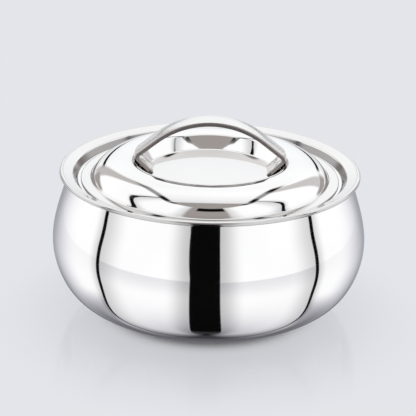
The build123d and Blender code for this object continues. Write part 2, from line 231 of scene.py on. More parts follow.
class CasseroleLid(bpy.types.PropertyGroup):
    edge_radius: length("Edge radius", "Outer radius of the lid's hem", LID_EDGE_RADIUS)
    crest_radius: length("Crest radius", "Radius of the highest ring of the lid", 56.1 * MM)
    crest_height: length("Crest height", "Height of the highest ring of the lid", CREST_HEIGHT)
    outer_arc: length("Outer arc", "Radius of the dome outside its crest", 24.0 * MM)
    inner_arc: length("Inner arc", "Radius of the dome inside its crest", 7.3 * MM)
    recess_slope: angle("Recess slope", "Slope of the recess wall", radians(45))
    sheet: length("Sheet", "Thickness of the lid's pressed steel", 0.6 * MM)


class CasseroleHandle(bpy.types.PropertyGroup):
    top_height: length("Top height", "Height of the handle's crest", TOP_HEIGHT)
    width: length("Width", "Width of the strap", STRAP_WIDTH)
    thickness: length("Thickness", "Thickness of the strap along its middle", 3.1 * MM)
    rise: angle("Rise", "Slope that the arch starts at", radians(38))
    bend_radius: length("Bend radius", "Outer radius of the bend at each end", 5.0 * MM)


class CasseroleFinish(bpy.types.PropertyGroup):
    steel: colour("Steel", "Colour of the polished steel", (0.64, 0.624, 0.61))
    handle_steel: colour("Handle steel", "Colour of the cast steel of the handle", (0.61, 0.593, 0.577))
    satin_steel: colour("Satin steel", "Colour of the steel that isn't buffed", (0.52, 0.51, 0.5))
    foam: colour("Foam", "Colour of the insulation", (0.78, 0.66, 0.4))
    plug: colour("Plug", "Colour of the plug in the base", (0.02, 0.02, 0.02))
    mirror: share("Mirror roughness", "Roughness of the buffed steel", 0.03)
    background: colour("Background", "Colour of the floor and backdrop", (0.776, 0.784, 0.823))


# ---------------------------------------------------------------- outlines
def heading(turn):
    return np.array((cos(turn), sin(turn)))


class Outline:
    """A line in the half section, kept as stations: a point and the heading there, in radians."""

    def __init__(self, start, turn):
        self.points, self.turns = [np.array(start, float)], [turn]

    def straight_to(self, point):
        self.points.append(np.array(point, float))
        self.turns.append(self.turns[-1])

    def arc(self, radius, turn):
        """Arc from the last station, to the left for a positive turn."""
        side = 1 if turn > 0 else -1
        centre = self.points[-1] + radius * heading(self.turns[-1] + side * pi / 2)
        steps = max(ceil(abs(turn) / ARC_STEP), ceil(abs(turn) * radius / ARC_RUN))
        first = self.turns[-1]
        for step in range(1, steps + 1):
            here = first + turn * step / steps
            self.points.append(centre - radius * heading(here + side * pi / 2))
            self.turns.append(here)

    def rounded(self, corners, fillets):
        """Straight runs through the corners to the last of them, with an arc at each of the others."""
        for corner, following, fillet in zip(corners, corners[1:], fillets):
            corner = np.array(corner)
            ahead, here = np.array(following) - corner, self.turns[-1]
            turn = (np.arctan2(ahead[1], ahead[0]) - here + pi) % (2 * pi) - pi
            self.straight_to(corner - fillet * tan(abs(turn) / 2) * heading(here))
            self.arc(fillet, turn)
        self.straight_to(corners[-1])

    def smooth_through(self, stations, end_turn):
        """Cubic spline from the last station through these, reaching the last one at the given turn."""
        at = np.array([self.points[-1], *stations])
        gap = np.linalg.norm(np.diff(at, axis=0), axis=1)
        rows, right = np.eye(len(at)), np.zeros((len(at), 2))
        right[0], right[-1] = heading(self.turns[-1]), heading(end_turn)
        for i in range(1, len(at) - 1):
            rows[i, i - 1:i + 2] = gap[i], 2 * (gap[i - 1] + gap[i]), gap[i - 1]
            right[i] = 3 * (gap[i] * (at[i] - at[i - 1]) / gap[i - 1]
                            + gap[i - 1] * (at[i + 1] - at[i]) / gap[i])
        slope = np.linalg.solve(rows, right)
        for i, run in enumerate(gap):
            for t in np.arange(1, BELLY_SPAN_STEPS + 1) / BELLY_SPAN_STEPS:
                self.points.append(at[i] * (1 + 2 * t) * (1 - t) ** 2 + at[i + 1] * t * t * (3 - 2 * t)
                                   + run * (slope[i] * t * (1 - t) ** 2 - slope[i + 1] * t * t * (1 - t)))
                along = (6 * t * (1 - t) * (at[i + 1] - at[i]) / run
                         + slope[i] * (1 - t) * (1 - 3 * t) + slope[i + 1] * t * (3 * t - 2))
                self.turns.append(float(np.arctan2(along[1], along[0])))

    def sheet(self, thickness):
        """Section of a sheet on the left of the line: its stations, each with its normal, and whether
        they close. A free edge is rounded, and an end on the axis is left open."""
        points, turns, half = list(self.points), list(self.turns), thickness / 2
        from_axis, to_axis = points[0][0] == 0, points[-1][0] == 0

        def edge(point, turn, first):
            middle = point + half * heading(turn + pi / 2)
            swing = [first + pi * step / CAP_STEPS for step in range(1, CAP_STEPS)]
            return [(middle + half * heading(way), way) for way in swing]

        if not from_axis:
            points[0] = points[0] + half * heading(turns[0])
        if not to_axis:
            points[-1] = points[-1] - half * heading(turns[-1])
        front = [(point, turn - pi / 2) for point, turn in zip(points, turns)]
        back = [(point + thickness * heading(turn + pi / 2), turn + pi / 2)
                for point, turn in zip(points[::-1], turns[::-1])]
        end = edge(points[-1], turns[-1], turns[-1] - pi / 2)
        start = edge(points[0], turns[0], turns[0] + pi / 2)
        if from_axis:
            return front + end + back, False
        if to_axis:
            return back + start + front, False
        return front + end + back + start, True


def shell_line(pot):
    """Outer face of the outer shell, from the foot ring up to the lip inside the bead."""
    line = Outline((FOOT_INNER_RADIUS, 0), 0)
    line.rounded([(FOOT_RADIUS, 0), (FOOT_RADIUS + MM * cos(FOOT_SPLAY), MM * sin(FOOT_SPLAY))],
                 [FOOT_FILLET])
    line.smooth_through([*BELLY_BELOW, (pot.belly_radius, pot.belly_height), *BELLY_ABOVE, NECK],
                        pi / 2 + NECK_LEAN)
    up, lip = heading(pot.flange_rise + pi / 2), from_bead(pot, -LIP_END_GAP, LAP_GAP)
    neck_run = (lip - NECK) @ up / cos(pot.flange_rise - NECK_LEAN)
    line.rounded([NECK + neck_run * heading(pi / 2 + NECK_LEAN), lip], [NECK_FILLET])
    return line


def from_bead(pot, along, above):
    """Point measured from the middle of the bead, along the flange and square to it."""
    return BEAD_CENTRE + along * heading(pot.flange_rise) + above * heading(pot.flange_rise + pi / 2)


def bowl_line(pot):
    """Cavity face of the inner bowl, from the free edge of the bead in to the middle of the floor."""
    line = Outline(from_bead(pot, -pot.bead_radius, 0), pot.flange_rise - pi / 2)
    line.arc(pot.bead_radius, CURL)
    line.rounded([FLANGE_INNER, SEAT_OUTER, MOUTH, (BOWL_FOOT_RADIUS, pot.floor_height),
                  (0.0, pot.floor_height)], BOWL_FILLETS)
    return line


def plate_line():
    """Underside of the base plate, from the filling hole out to its edge on the foot ring."""
    line = Outline(PLATE_OUTLINE[0], 0)
    line.rounded(PLATE_OUTLINE[1:], PLATE_FILLETS)
    return line


def lid_line(lid):
    """Outer face of the lid, from its hem up over the dome and in to the middle of the recess."""
    drop = RIM_HEIGHT - lid.crest_height + lid.outer_arc + DOME_FOOT_FILLET
    foot_turn = acos(drop / (lid.outer_arc + DOME_FOOT_FILLET))
    foot_radius = lid.crest_radius + sqrt((lid.outer_arc + DOME_FOOT_FILLET) ** 2 - drop ** 2)
    line = Outline((lid.edge_radius, MOUTH[1]), pi / 2)
    line.rounded([(lid.edge_radius, RIM_HEIGHT), (foot_radius, RIM_HEIGHT)], [RIM_FILLET])
    line.arc(DOME_FOOT_FILLET, -foot_turn)
    line.arc(lid.outer_arc, foot_turn)
    line.straight_to((lid.crest_radius - CREST_FLAT, lid.crest_height))
    line.arc(lid.inner_arc, lid.recess_slope - RECESS_WALL_BOW / 2)
    wall_run = RECESS_WALL_RUN + lid.inner_arc * RECESS_WALL_BOW / 2
    line.arc(wall_run / RECESS_WALL_BOW, RECESS_WALL_BOW)
    line.arc(RECESS_FILLET, -lid.recess_slope - RECESS_WALL_BOW / 2 - RECESS_FLOOR_SLOPE)
    line.arc(line.points[-1][0] / sin(RECESS_FLOOR_SLOPE), RECESS_FLOOR_SLOPE)
    line.points[-1][0] = 0
    return line


def liner_line():
    """Underside of the lid's liner, from its middle out to its edge."""
    line = Outline(LINER_OUTLINE[0], 0)
    line.rounded(LINER_OUTLINE[1:], LINER_FILLETS)
    return line


# ---------------------------------------------------------------- meshes
def add_piece(name, points, faces, normals=None):
    """Object of a smooth mesh, placed where it is drawn."""
    mesh = bpy.data.meshes.new(name)
    mesh.from_pydata(points, [], faces)
    mesh.shade_smooth()
    if normals is not None:
        mesh.normals_split_custom_set_from_vertices(normals)
    made = bpy.data.objects.new(name, mesh)
    bpy.context.scene.collection.objects.link(made)
    return made


def turned(name, line, thickness):
    """Sheet of the given thickness on the left of a line, turned about Z."""
    stations, closes = line.sheet(thickness)
    round_about = [2 * pi * step / SEGMENTS for step in range(SEGMENTS)]
    points, normals, rings = [], [], []
    for (radius, height), way in stations:
        spots = [0.0] if radius == 0 else round_about
        rings.append([len(points) + step for step in range(len(spots))] * (SEGMENTS // len(spots)))
        for about in spots:
            points.append((radius * cos(about), radius * sin(about), height))
            normals.append((cos(way) * cos(about), cos(way) * sin(about), sin(way)))
    faces = []
    for ring, following in zip(rings, rings[1:] + rings[:1] if closes else rings[1:]):
        for step in range(SEGMENTS):
            beside = (step + 1) % SEGMENTS
            corners = (ring[step], ring[beside], following[beside], following[step])
            faces.append(tuple(dict.fromkeys(corners)))
    return add_piece(name, points, faces, normals)


def strap_line(lid, handle):
    """Crest line of the strap from the foot of its right tab to the middle of the arch."""
    centre = np.array((lid.crest_radius - CREST_FLAT, lid.crest_height - lid.inner_arc))
    reach, down = lid.inner_arc + LAP_GAP, heading(lid.recess_slope + pi)
    wall_top = centre + reach * heading(pi / 2 + lid.recess_slope)
    line = Outline(wall_top + RECESS_WALL_RUN * down, lid.recess_slope)
    line.straight_to(wall_top + (RECESS_WALL_RUN - TAB_RUN) * down)
    line.arc(handle.bend_radius, pi - handle.rise - lid.recess_slope)
    across, drop = line.points[-1][0], handle.top_height - line.points[-1][1]
    ramp = drop / tan(handle.rise / 2) - across
    line.straight_to(line.points[-1] + ramp * heading(pi - handle.rise))
    line.arc((across - ramp * cos(handle.rise)) / sin(handle.rise), handle.rise)
    return line


def strap_section(handle):
    """Section of the strap, counter-clockwise: its place across and deep, and its normal there."""
    half, deep = handle.width / 2, handle.thickness
    flat = Outline((0.0, 0.0), 0.0)
    flat.rounded([(half, 0.0), (half, deep), (-half, deep), (-half, 0.0), (0.0, 0.0)],
                 [STRAP_FILLETS[0], STRAP_FILLETS[1], STRAP_FILLETS[1], STRAP_FILLETS[0]])
    section = []
    for (across, depth), turn, (onward, further) in zip(
            flat.points, flat.turns, flat.points[1:] + flat.points[:1]):
        run = max(ceil(np.hypot(onward - across, further - depth) / STRAP_STEP), 1)
        for step in range(run):
            y = across + (onward - across) * step / run
            d = depth + (further - depth) * step / run
            bow = (STRAP_CROWN + (STRAP_HOLLOW - STRAP_CROWN) * d / deep) / half ** 2
            grow = (STRAP_HOLLOW - STRAP_CROWN) / deep * (y / half) ** 2
            along = (cos(turn), sin(turn) * (1 + grow) + 2 * bow * y * cos(turn))
            steep = np.hypot(*along)
            section.append(((y, d + bow * y * y), (along[1] / steep, -along[0] / steep)))
    return section


def handle_strap(name, lid, handle):
    """The strap, swept along its crest line, with both ends run down to the floor of the recess."""
    half = strap_line(lid, handle)
    stations = list(zip(half.points, half.turns))
    stations += [(np.array((-point[0], point[1])), 2 * pi - turn) for point, turn in stations[-2::-1]]
    end_radius = stations[0][0][0] + RECESS_MARGIN
    radii, heights = zip(*[(radius, height) for radius, height in lid_line(lid).points[::-1]
                           if radius < end_radius and height < RIM_HEIGHT + RECESS_LOW])
    points, normals, faces = [], [], []
    section = strap_section(handle)
    for index, (point, turn) in enumerate(stations):
        inward = heading(turn + pi / 2)
        for (across, depth), (aside, below) in section:
            x, z = point + depth * inward
            if index in (0, len(stations) - 1):
                x, z = run_down(x, across, z, lid.recess_slope, radii, heights)
            points.append((x, across, z))
            normals.append((below * inward[0], aside, below * inward[1]))
    count = len(section)
    for ring in range(len(stations) - 1):
        for step in range(count):
            here, beside = ring * count + step, ring * count + (step + 1) % count
            faces.append((here, beside, beside + count, here + count))
    faces += [tuple(range(count - 1, -1, -1)), tuple(range(len(points) - count, len(points)))]
    return add_piece(name, points, faces, normals)


def run_down(x, y, z, slope, radii, heights):
    """Where a point of the strap's end comes to, sliding down the slope to the recess floor. Each step
    goes half of the way that is left."""
    side = 1 if x > 0 else -1
    for _ in range(SLIDE_STEPS):
        drop = z - LAP_GAP - np.interp(np.hypot(x, y), radii, heights)
        x, z = x - side * drop * cos(slope) / 2, z - drop * sin(slope) / 2
    return x, z


# ---------------------------------------------------------------- shader nodes
class Value:
    """A socket of a node tree. Python's operators on it add Math nodes."""

    def __init__(self, nodes, socket):
        self.nodes, self.socket = nodes, socket

    def math(self, operation, *values):
        return self.nodes.node("ShaderNodeMath", {"operation": operation}, dict(enumerate(values)))["Value"]

    def __add__(self, other):
        return self.math("ADD", self, other)

    def __sub__(self, other):
        return self.math("SUBTRACT", self, other)

    def __rsub__(self, other):
        return self.math("SUBTRACT", other, self)

    def __mul__(self, other):
        return self.math("MULTIPLY", self, other)

    def __truediv__(self, other):
        return self.math("DIVIDE", self, other)

    def __neg__(self):
        return self.math("MULTIPLY", self, -1.0)

    def __pow__(self, other):
        return self.math("POWER", self, other)

    def __abs__(self):
        return self.math("ABSOLUTE", self)

    __radd__, __rmul__ = __add__, __mul__

    def highest(self, other):
        return self.math("MAXIMUM", self, other)

    def lowest(self, other):
        return self.math("MINIMUM", self, other)

    def rising(self, low, high):
        """0 up to low, 1 from high on, and smooth between."""
        return self.nodes.node("ShaderNodeMapRange", {"interpolation_type": "SMOOTHSTEP"},
                               {"Value": self, "From Min": low, "From Max": high})["Result"]

    def within(self, low, high, soft):
        """1 from low to high, with edges this soft."""
        return self.rising(low - soft, low + soft) * (1 - self.rising(high - soft, high + soft))


class Nodes:
    """The node tree of a material or of the world."""

    def __init__(self, tree):
        self.tree = tree
        tree.nodes.clear()

    def node(self, kind, settings=None, sockets=None):
        made = self.tree.nodes.new(kind)
        for name, value in (settings or {}).items():
            setattr(made, name, value)
        for name, value in (sockets or {}).items():
            if isinstance(value, Value):
                self.tree.links.new(value.socket, made.inputs[name])
            else:
                made.inputs[name].default_value = value
        return Outputs(self, made)

    def vector(self, x, y, z):
        return self.node("ShaderNodeCombineXYZ", {}, {"X": x, "Y": y, "Z": z})["Vector"]

    def blend(self, factor, first, second):
        """The first colour where the factor is 0, and the second where it is 1."""
        colours = {6: as_colour(first), 7: as_colour(second)}
        return self.node("ShaderNodeMix", {"data_type": "RGBA"}, {0: factor, **colours})[2]

    def noise(self, place, scale, detail=2.0):
        return self.node("ShaderNodeTexNoise", {}, {"Vector": place, "Scale": scale, "Detail": detail})["Fac"]


class Outputs:
    """The output sockets of a node, by name or number."""

    def __init__(self, nodes, made):
        self.nodes, self.made = nodes, made

    def __getitem__(self, name):
        return Value(self.nodes, self.made.outputs[name])


def as_colour(value):
    return value if isinstance(value, Value) else (*value, 1.0)


def scaled(colour, by):
    """The colour, lighter or darker by this factor."""
    return [part * by for part in colour]


def new_material(name, **constants):
    """A material, its node tree, and a function that ends the tree in the Principled shader."""
    made = bpy.data.materials.new(name)
    made.use_nodes = True
    nodes = Nodes(made.node_tree)

    def finish(**sockets):
        named = {key.replace("_", " "): value for key, value in {**constants, **sockets}.items()}
        shader = nodes.node("ShaderNodeBsdfPrincipled", {}, named)["BSDF"]
        nodes.node("ShaderNodeOutputMaterial", {}, {"Surface": shader})
        return made

    return nodes, finish


# ---------------------------------------------------------------- finishes
def turned_place(nodes):
    """Place on a turned piece: its radius, its height and its angle about Z."""
    place = nodes.node("ShaderNodeTexCoord")["Object"]
    cut = nodes.node("ShaderNodeSeparateXYZ", {}, {0: place})
    x, y, z = cut["X"], cut["Y"], cut["Z"]
    return place, (x * x + y * y) ** 0.5, z, y.math("ARCTAN2", y, x)


def relief(nodes, pattern, depth, strength=1.0):
    """Normal of a surface that a pattern raises by this depth."""
    sockets = {"Height": pattern, "Strength": strength, "Distance": depth}
    return nodes.node("ShaderNodeBump", {}, sockets)["Normal"]


def buffed_steel(name, colour, roughness, line_depth, lines_per_metre, shade_and_wear=None):
    """Steel buffed while it turned: faint lines round the axis, light smears and a few scuffs. Where a mask
    of radius and height says, it is darker and rougher: painted shade in crevices and beside edges, and a
    darker tone on some flats."""
    nodes, finish = new_material(name, Metallic=1.0)
    place, radius, height, angle = turned_place(nodes)
    track = nodes.vector(radius * lines_per_metre, height * lines_per_metre, angle * LINE_LENGTHS)
    lines = nodes.noise(track, 1.0, LINE_DETAIL)
    smears = nodes.noise(place, SMEAR_SCALE)
    scuff_track = nodes.vector(radius * SCUFF_SCALE, height * SCUFF_SCALE, angle * SCUFF_LENGTHS)
    scuffed = nodes.noise(scuff_track, 1.0).rising(*SCUFF_EDGES)
    tint = nodes.blend(smears.rising(*SMEAR_EDGES), colour, scaled(colour, SMEAR_TINT))
    even, by_lines, by_smears = ROUGH_MIX
    rough = roughness * (even + by_lines * lines + by_smears * smears) + scuffed * roughness
    # the mask paints shade in crevices and beside edges and darkens some flats, and all of it is rougher too
    if shade_and_wear:
        shade_and_wear_mask = shade_and_wear(radius, height)
        tint = nodes.blend(shade_and_wear_mask, tint, SHADE_AND_WEAR_STEEL)
        rough = rough + WORN_ROUGHNESS * shade_and_wear_mask
    return finish(Base_Color=tint, Roughness=rough, Normal=relief(nodes, lines, line_depth))


def seat_and_bead_shade_and_wear(radius, height):
    """Painted shade, with added roughness, in the step under the lid's edge and along both sides of the
    rolled bead, and a little darker and rougher on the flange.
    """
    flange_radius, flange_height = FLANGE_INNER
    # painted shade in the seat's crevice, fading out under the flange
    below_flange = 1 - height.rising(flange_height - SEAT_SHADE_FADE, flange_height)
    seat_shade = radius.within(*SEAT_SHADE_RING, RING_SOFT) * below_flange
    # painted dark lines of shade beside the rolled bead
    inner, outer = BEAD_SHADE_LINES
    inner_line = radius.within(inner - RING_SOFT, inner + RING_SOFT, LINE_SOFT)
    bead_shade = inner_line.highest(radius.rising(outer - RING_SOFT, outer))
    flange = FLAT_DARKENING * radius.rising(flange_radius, flange_radius + FLAT_SOFT)
    return seat_shade.highest(BEAD_SHADE * bead_shade).highest(flange)


def lid_shade_and_wear(radius, height):
    """Painted shade, with added roughness, on the hem's outer side in the gap to the seat, and a little
    darker and rougher on the rim and the recess's floor.
    """
    # painted shade on the hem's outer side, in the gap to the seat
    hem_start, hem_whole = HEM_SHADE_SIDE
    hem_shade = HEM_SHADE * radius.rising(LID_EDGE_RADIUS - hem_start, LID_EDGE_RADIUS - hem_whole)
    floor_edge, rim_edge = LID_FLAT_EDGES
    floor = 1 - radius.rising(floor_edge, floor_edge + 2 * FLAT_SOFT)
    return hem_shade.highest(FLAT_DARKENING * (floor + radius.rising(rim_edge - FLAT_SOFT, rim_edge)))


def satin_steel(name, colour):
    """Steel left as it came off the press: dull, with fine lines round the axis."""
    return buffed_steel(name, colour, SATIN_ROUGHNESS, SATIN_LINE_DEPTH, SATIN_LINES)


def cast_steel(name, colour, roughness, half_width=None):
    """Buffed steel of a piece that isn't turned: the buffing marks run along X. Roughness is one number, or
    two for low down and high up. A piece this wide gets painted shade along its sides, which are rougher too."""
    nodes, finish = new_material(name, Metallic=1.0)
    place = nodes.node("ShaderNodeTexCoord")["Object"]
    cut = nodes.node("ShaderNodeSeparateXYZ", {}, {0: place})
    track = nodes.vector(*(cut[axis] * count for axis, count in zip("XYZ", CAST_LINES)))
    lines = nodes.noise(track, 1.0, LINE_DETAIL)
    smears = nodes.noise(place, SMEAR_SCALE * 2)
    tint = nodes.blend(smears.rising(*SMEAR_EDGES), colour, scaled(colour, CAST_SMEAR_TINT))
    if isinstance(roughness, tuple):
        low, high = roughness
        roughness = low + (high - low) * cut["Z"].rising(*STRAP_DULL_HEIGHTS)
    even, by_lines, by_smears = CAST_ROUGH_MIX
    rough = (even + by_lines * lines + by_smears * smears) * roughness
    # painted shade along the sides of a wide piece, which are rougher too
    if half_width:
        side = abs(cut["Y"]).rising(half_width - STRAP_EDGE, half_width - STRAP_EDGE / 2)
        tint = nodes.blend(side, tint, STRAP_SIDE_SHADE)
        rough = rough + WORN_ROUGHNESS * side
    return finish(Base_Color=tint, Roughness=rough, Normal=relief(nodes, lines, LINE_DEPTH))


def insulation_foam(name, colour):
    """Rigid poured foam: a matt cut skin with small open cells."""
    nodes, finish = new_material(name, Specular_IOR_Level=FOAM_SHINE)
    place = nodes.node("ShaderNodeTexCoord")["Object"]
    pores = nodes.node("ShaderNodeTexVoronoi", {"feature": "F1"}, {"Vector": place, "Scale": CELL_SCALE})
    walls = pores["Distance"].rising(*CELL_EDGES)
    cloud = nodes.noise(place, FOAM_CLOUD_SCALE)
    tint = nodes.blend(cloud.rising(*FOAM_CLOUD_EDGES), colour, scaled(colour, FOAM_CLOUD_TINT))
    # painted shade in the hollows of the open cells
    shade = nodes.blend(walls, scaled(colour, CELL_SHADE), tint)
    even, by_cloud = FOAM_ROUGHNESS
    return finish(Base_Color=shade, Roughness=even + by_cloud * cloud,
                  Normal=relief(nodes, walls, CELL_DEPTH, CELL_STRENGTH))


def moulded_plastic(name, colour):
    """Moulded plastic with a fine grain."""
    nodes, finish = new_material(name)
    place = nodes.node("ShaderNodeTexCoord")["Object"]
    grain, cloud = nodes.noise(place, GRAIN_SCALE), nodes.noise(place, PLASTIC_CLOUD_SCALE)
    tint = nodes.blend(cloud, colour, scaled(colour, PLASTIC_CLOUD_TINT))
    even, by_grain = PLASTIC_ROUGHNESS
    return finish(Base_Color=tint, Roughness=even + by_grain * grain,
                  Normal=relief(nodes, grain, GRAIN_DEPTH, GRAIN_STRENGTH))


# ---------------------------------------------------------------- operators
def settings():
    scene = bpy.context.scene
    return scene.casserole_pot, scene.casserole_lid, scene.casserole_handle, scene.casserole_finish


def dress(piece, material, body, node):
    """Give a new piece its material and its body, and hide the CAD node that it takes the place of."""
    piece.data.materials.append(material)
    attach(piece, body)
    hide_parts(node)


def repaint(node, material):
    """Give a CAD node that stays a better material."""
    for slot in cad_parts[node].material_slots:
        slot.material = material


class MakePot(bpy.types.Operator):
    """Build the pot: its outer shell, the bowl with its flared rim, the base plate, plug and insulation"""
    bl_idname = "casserole.pot"
    bl_label = "Pot"

    def execute(self, context):
        pot, _, _, finish = settings()
        shell = turned("outer_shell_skin", shell_line(pot), pot.sheet)
        shell_steel = buffed_steel("mirror_steel", finish.steel, finish.mirror, LINE_DEPTH, LINES)
        dress(shell, shell_steel, "pot", "outer_shell")
        bowl = turned("inner_bowl_skin", bowl_line(pot), pot.sheet)
        bowl_steel = buffed_steel("bowl_steel", finish.steel, finish.mirror, LINE_DEPTH, LINES,
                                  seat_and_bead_shade_and_wear)
        dress(bowl, bowl_steel, "pot", "inner_bowl")
        plate = turned("base_plate_skin", plate_line(), pot.sheet)
        dress(plate, satin_steel("plate_steel", finish.satin_steel), "pot", "base_plate")
        repaint("fill_plug", moulded_plastic("plug_plastic", finish.plug))
        repaint("body_foam", insulation_foam("body_foam", finish.foam))
        return {"FINISHED"}


class MakeLid(bpy.types.Operator):
    """Build the lid: its domed top with the round recess, its liner and its insulation"""
    bl_idname = "casserole.lid"
    bl_label = "Lid"

    def execute(self, context):
        _, lid, _, finish = settings()
        top = turned("lid_top_skin", lid_line(lid), lid.sheet)
        top_steel = buffed_steel("lid_steel", finish.steel, finish.mirror, LINE_DEPTH, LINES, lid_shade_and_wear)
        dress(top, top_steel, "lid", "lid_top_shell")
        liner = turned("lid_liner_skin", liner_line(), lid.sheet)
        dress(liner, satin_steel("liner_steel", finish.satin_steel), "lid", "lid_liner")
        repaint("lid_foam", insulation_foam("lid_foam", finish.foam))
        return {"FINISHED"}


class MakeHandle(bpy.types.Operator):
    """Build the lid's strap handle and finish its rivets and washers"""
    bl_idname = "casserole.handle"
    bl_label = "Handle"

    def execute(self, context):
        _, lid, handle, finish = settings()
        strap = handle_strap("lid_handle_strap", lid, handle)
        strap_steel = cast_steel("handle_steel", finish.handle_steel, STRAP_ROUGHNESS, handle.width / 2)
        dress(strap, strap_steel, "lid", "lid_handle")
        rivet_steel = cast_steel("rivet_steel", finish.satin_steel, RIVET_ROUGHNESS)
        for side in ("left", "right"):
            repaint(f"handle_rivets_{side}", rivet_steel)
            repaint(f"rivet_washers_{side}", rivet_steel)
        return {"FINISHED"}


class MakeStage(bpy.types.Operator):
    """Set the floor, the light tent and the camera"""
    bl_idname = "casserole.stage"
    bl_label = "Stage"

    def execute(self, context):
        *_, finish = settings()
        context.scene.view_settings.view_transform = "Standard"
        place_camera(context.scene)
        light_tent(context.scene, finish.background)
        lay_floor(finish.background)
        return {"FINISHED"}


# ---------------------------------------------------------------- stage
def place_camera(scene):
    data = bpy.data.cameras.new("camera")
    data.lens, data.sensor_width, data.shift_x = CAMERA_LENS, CAMERA_SENSOR, CAMERA_SHIFT
    data.clip_start = CAMERA_CLIP
    camera = bpy.data.objects.new("camera", data)
    scene.collection.objects.link(camera)
    aim = Matrix.Translation((0, 0, CAMERA_AIM_HEIGHT))
    pitch = Matrix.Rotation(pi / 2 - CAMERA_PITCH, 4, "X")
    camera.matrix_world = (aim @ pitch @ Matrix.Translation((0, 0, CAMERA_DISTANCE))
                           @ Matrix.Rotation(CAMERA_ROLL, 4, "Z"))
    scene.camera = camera


def bearing(x, y):
    """Degrees about Z from the front, to the right."""
    turn = x.math("ARCTAN2", x, -y)
    return turn.math("DEGREES", turn)


class Way:
    """Where a ray of the world goes: its parts, its bearing, whether that is to the right, its height and
    how level it is."""

    def __init__(self, nodes):
        way = nodes.node("ShaderNodeSeparateXYZ", {}, {0: nodes.node("ShaderNodeTexCoord")["Generated"]})
        self.x, self.y, self.z = way["X"], way["Y"], way["Z"]
        self.about = bearing(self.x, self.y)
        self.aside, self.on_right = abs(self.about), self.about.rising(*SIDES)
        self.above = self.z.math("DEGREES", self.z.math("ARCSINE", self.z))
        self.level = (self.x * self.x + self.y * self.y) ** 0.5
        self.high = self.above.rising(HIGH_FROM, HIGH_TO)
        sunk = self.z.lowest(0)
        self.sunk_level = (1 - sunk * sunk) ** 0.5      # a way that rises counts as level here


def front_gap(way):
    """The way out to the front between the upright panels: shade beside it, grey and dark in it."""
    spread = (way.sunk_level + GAP_SPREAD) / (way.sunk_level * (1 + GAP_SPREAD))
    lean = GAP_LEAN * way.above.highest(0)
    past_gap = abs(way.about - GAP_BEARING + lean) / spread - GAP_HALF - lean
    past_grey = abs(way.about - GREY_BEARING) - GREY_HALF
    shade = (GAP_GLOOM * (1 - past_gap.rising(0, GAP_FADE)) * (1 - way.high)
             + GREY_GLOOM * (1 - past_grey.rising(0, GREY_FADE)) * way.high)
    grey = (1 - past_grey.rising(-GREY_SOFT, GREY_SOFT)) * way.high
    dark = (1 - past_gap.rising(-GAP_SOFT, GAP_SOFT)) * (1 - way.high) * (1 - way.y.rising(*GAP_ENDS))
    slit = way.about.within(*SLIT_BEARINGS, SLIT_SOFT) * way.above.within(*SLIT_HEIGHTS, SLIT_SOFT)
    return shade, grey, dark.highest(slit)


def side_seams(way):
    """The seam on each side, which leans back as it rises: shade beside it, dark in it, and whether a
    place is behind it."""
    lean = way.above.rising(*SEAM_LEANS)
    spread = 1 + SEAM_SPREAD * (1 - way.sunk_level) ** SEAM_SPREADS
    turned = abs((way.about - SEAM_BEARING) / spread + SEAM_SHIFT * lean)
    past_seam = turned - SEAM_TURN + SEAM_PINCH * way.above.rising(*SEAM_PINCHES) - SEAM_LEAN * lean
    in_front, behind = SEAM_FADES
    shade = SEAM_GLOOM * (past_seam / spread).rising(-in_front, 0) * (1 - past_seam.rising(0, behind))
    left, right = SEAM_WIDENS
    wide = way.high * (1 - way.above.rising(*SEAM_NARROWS))
    off = abs(past_seam) / (1 + wide * (left + (right - left) * way.on_right))
    dark = 1 - off.rising(SEAM_HALF - SEAM_SOFT, SEAM_HALF + SEAM_SOFT)
    pale = SEAM_PALE * way.above.rising(*SEAM_PALES) * way.on_right
    return shade, dark * (1 - pale), past_seam.rising(*SIDES)


def panel_edge(way):
    """The dark upper edge of the upright panels, which widens to the sides."""
    thin, thick = PANEL_LINE
    widens = way.aside.rising(*PANEL_LINE_FROM)
    off = abs(way.above - PANEL_TOP) / (thin + (thick - thin) * widens)
    least, more = PANEL_LINE_DARK
    line = (1 - off.rising(*PANEL_LINE_EDGES)) * (least + more * widens)
    return line * way.aside.within(*PANEL_LINE_ENDS, BEARING_SOFT)


def overhead_sheet(way):
    """The sheet over the pot and down behind it: where it is, its light, and its dark border."""
    side = (way.z - SHEET_SIDE * abs(way.x)) / sqrt(1 + SHEET_SIDE ** 2)
    front = (way.z + SHEET_FRONT * way.y) / sqrt(1 + SHEET_FRONT ** 2)
    inside = side.lowest(front).rising(-BORDER_SOFT, BORDER_SOFT)
    light = 1 - SHEET_GLOOM * (1 - (front.highest(0) / SHEET_REACH).lowest(1) ** 0.5)
    border = side.within(-BORDER_HALF, BORDER_HALF, BORDER_SOFT) * front.rising(-BORDER_SOFT, BORDER_SOFT)
    knots = sum(way.about.within(start, end, BEARING_SOFT) for start, end in KNOTS)
    border = border * (BORDER_GLOOM + (1 - BORDER_GLOOM) * knots)
    past_end = way.aside.rising(BORDER_END - BEARING_SOFT, BORDER_END + BEARING_SOFT)
    return inside, light, border * (1 - past_end)


